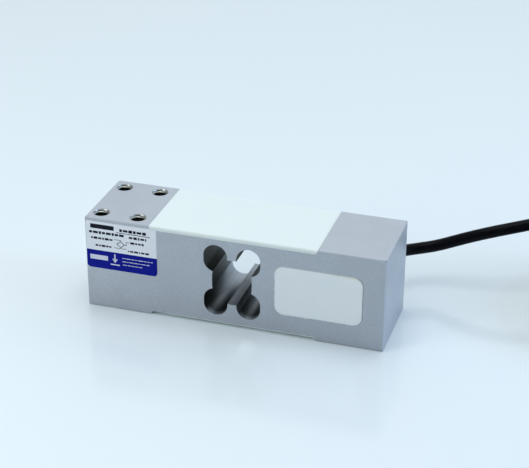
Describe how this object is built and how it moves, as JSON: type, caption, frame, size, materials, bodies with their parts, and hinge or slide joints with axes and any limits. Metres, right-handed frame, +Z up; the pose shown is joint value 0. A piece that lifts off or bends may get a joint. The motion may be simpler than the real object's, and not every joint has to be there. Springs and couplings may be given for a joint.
{
  "type": "single point load cell",
  "caption": "Rectangular beam load cell with a clover-shaped flexure cut, white potted gauge recesses and side pocket, tapped mounting pads and a black signal cable with coiled tail.",
  "frame": {"origin": "middle of the beam's foot, where it stands on its two lower pads", "axes": "+X along the beam from the load end to the cable end, -Y out of the face with the potted pocket, +Z up out of the pad with the load holes"},
  "size_m": [0.3421, 0.1201, 0.0485],
  "materials": {
    "beam": "fine matt machined and clear anodised",
    "white_silicone": "soft satin potting silicone",
    "label_film": "printed polyester film, white over blue",
    "polyimide": "amber polyimide film",
    "copper": "tinned copper pads",
    "board": "solder mask",
    "chip": "matt",
    "enamel_wire": "enamelled wire",
    "jacket": "glossy extruded jacket",
    "crimp": "plain",
    "black_rubber": "moulded",
    "tie": "black nylon",
    "sleeve": "shrunk tubing",
    "red": "extruded insulation",
    "green": "extruded insulation",
    "black": "extruded insulation",
    "white": "extruded insulation",
    "tinned": "tinned strands"
  },
  "bodies": {
    "root": {"body": "beam", "top_potting": "white_silicone", "bottom_potting": "white_silicone", "pocket_potting": "white_silicone", "label": "label_film", "gauge_top_left": "polyimide", "gauge_top_right": "polyimide", "gauge_bottom_left": "polyimide", "gauge_bottom_right": "polyimide", "solder_tabs_top": "copper", "solder_tabs_bottom": "copper", "compensation_board": "board", "trim_resistors": "chip", "gauge_wires_top": "enamel_wire", "gauge_wires_bottom": "enamel_wire", "cable_inlet": "jacket", "crimp_ring": "crimp", "conductor_red": "red", "conductor_green": "green", "conductor_black": "black", "conductor_white": "white", "cable_exit_seal": "black_rubber", "cable": "jacket", "cable_coil": "jacket", "cable_tail": "jacket", "coil_tie": "tie", "end_sleeve": "sleeve", "lead_red": "red", "lead_green": "green", "lead_black": "black", "lead_white": "white", "shield_wire": "tinned", "lead_tips": "tinned"}
  },
  "joints": []
}
